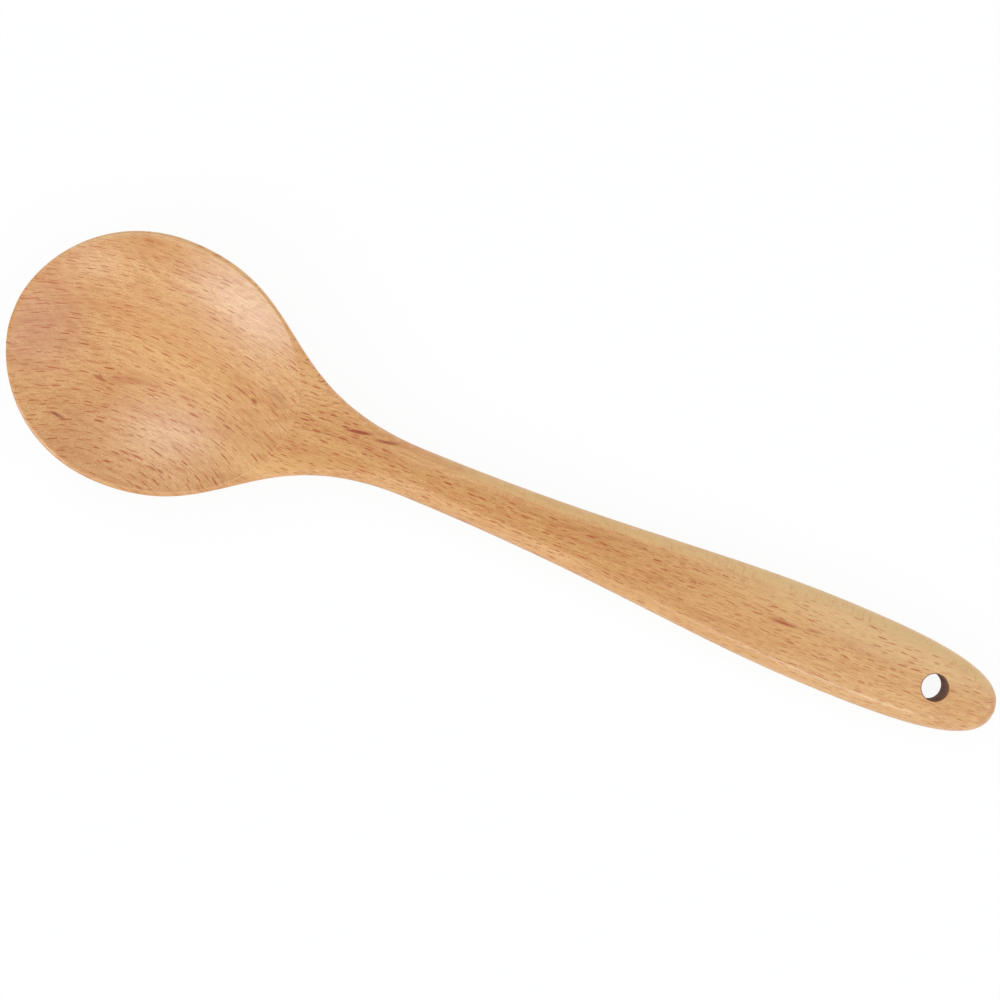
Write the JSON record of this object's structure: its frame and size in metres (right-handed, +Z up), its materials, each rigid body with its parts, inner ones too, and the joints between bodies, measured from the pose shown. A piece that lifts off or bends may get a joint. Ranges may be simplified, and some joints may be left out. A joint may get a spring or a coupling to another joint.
{
  "type": "wooden cooking spoon",
  "caption": "One-piece carved beech cooking spoon with a large dished bowl, slim neck, and a grip that widens to a rounded end with a round hanging hole.",
  "frame": {"origin": "centre of the bounding box in X and Y, on the surface that the spoon lies on", "axes": "+X runs along the spoon from the tip of the bowl to the end of the handle, +Z points up out of the open bowl, and the spoon is mirror symmetric in Y"},
  "size_m": [0.3098, 0.0752, 0.0179],
  "materials": {
    "beech": "sanded and lightly oiled beech, satin, with short dark ray flecks"
  },
  "bodies": {
    "root": {"spoon": "beech"}
  },
  "joints": []
}
